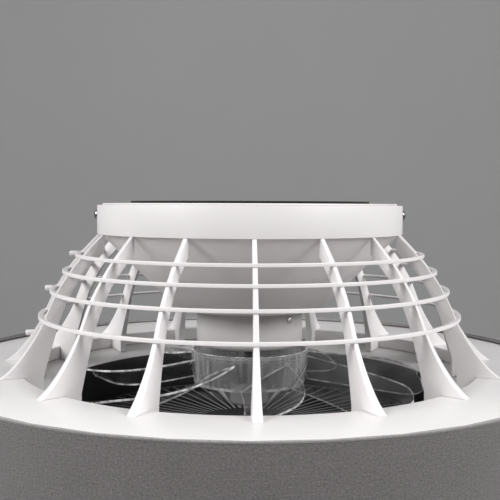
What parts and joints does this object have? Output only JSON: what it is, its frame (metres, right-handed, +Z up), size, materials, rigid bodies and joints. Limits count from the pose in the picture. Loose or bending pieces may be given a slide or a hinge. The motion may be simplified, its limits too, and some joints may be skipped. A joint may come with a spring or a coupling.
{
  "type": "caged ceiling fan with drum shade",
  "caption": "Flush ceiling fan: a white ribbed cage holds a cone and motor over clear blades, above a grey fabric drum with an opal light ring.",
  "frame": {"origin": "centre of the face that lies against the ceiling", "axes": "+Z up into the ceiling along the rotor axis, -Y towards the viewer of the picture, +X to the viewer's right"},
  "size_m": [0.5, 0.5, 0.192],
  "materials": {
    "foam": "matt black closed-cell foam",
    "painted_steel": "white powder coat, satin",
    "bright_screw": "bright nickel plate",
    "white_cage": "white moulded plastic, satin",
    "white_box": "white moulded plastic, matt",
    "motor_steel": "turned and stamped steel",
    "copper_wire": "enamelled copper wire",
    "white_plate": "white moulded plastic, satin",
    "black_plastic": "black moulded plastic, satin",
    "grey_fabric": "grey linen weave on film",
    "hem_fabric": "grey linen, folded hem",
    "circuit_board": "white solder mask",
    "opal_acrylic": "opal acrylic, satin",
    "magnet": "bonded magnet",
    "clear_plastic": "clear moulded plastic, glossy",
    "grey_plastic": "grey moulded plastic, glossy"
  },
  "bodies": {
    "housing": {"ceiling_gasket": "foam", "ceiling_plate": "painted_steel", "cage_screw_left": "bright_screw", "cage_screw_right": "bright_screw", "collar": "white_cage", "cage_ring_1": "white_cage", "cage_ring_2": "white_cage", "cage_ring_3": "white_cage", "cage_ring_4": "white_cage", "cage_rib_01": "white_cage", "cage_rib_02": "white_cage", "cage_rib_03": "white_cage", "cage_rib_04": "white_cage", "cage_rib_05": "white_cage", "cage_rib_06": "white_cage", "cage_rib_07": "white_cage", "cage_rib_08": "white_cage", "cage_rib_09": "white_cage", "cage_rib_10": "white_cage", "cage_rib_11": "white_cage", "cage_rib_12": "white_cage", "cage_rib_13": "white_cage", "cage_rib_14": "white_cage", "cage_rib_15": "white_cage", "cage_rib_16": "white_cage", "canopy": "painted_steel", "fan_receiver": "white_box", "led_driver": "white_box", "terminal_block": "white_box", "motor_cup": "painted_steel", "motor_boss": "motor_steel", "upper_bearing": "motor_steel", "lower_bearing": "motor_steel", "stator_core": "motor_steel", "stator_windings": "copper_wire", "top_plate": "white_plate", "inlet_funnel": "white_plate", "throat_duct": "black_plastic", "fabric_shade": "grey_fabric", "shade_hoop_top": "hem_fabric", "shade_hoop_bottom": "hem_fabric", "led_tray": "painted_steel", "led_board": "circuit_board", "diffuser": "opal_acrylic", "bottom_trim": "white_plate", "bottom_grille": "black_plastic"},
    "rotor": {"magnet_ring": "magnet", "rotor_bell": "motor_steel", "shaft": "motor_steel", "blade_hub": "clear_plastic", "blade_1": "clear_plastic", "blade_2": "clear_plastic", "blade_3": "clear_plastic", "blade_4": "clear_plastic", "blade_5": "clear_plastic", "blade_6": "clear_plastic", "blade_7": "clear_plastic", "blade_nut": "grey_plastic"}
  },
  "joints": [
    {"name": "rotor_spin", "type": "hinge", "parent": "housing", "child": "rotor", "pos_m": [0, 0, -0.13], "axis": [0, 0, 1], "continuous": true}
  ]
}
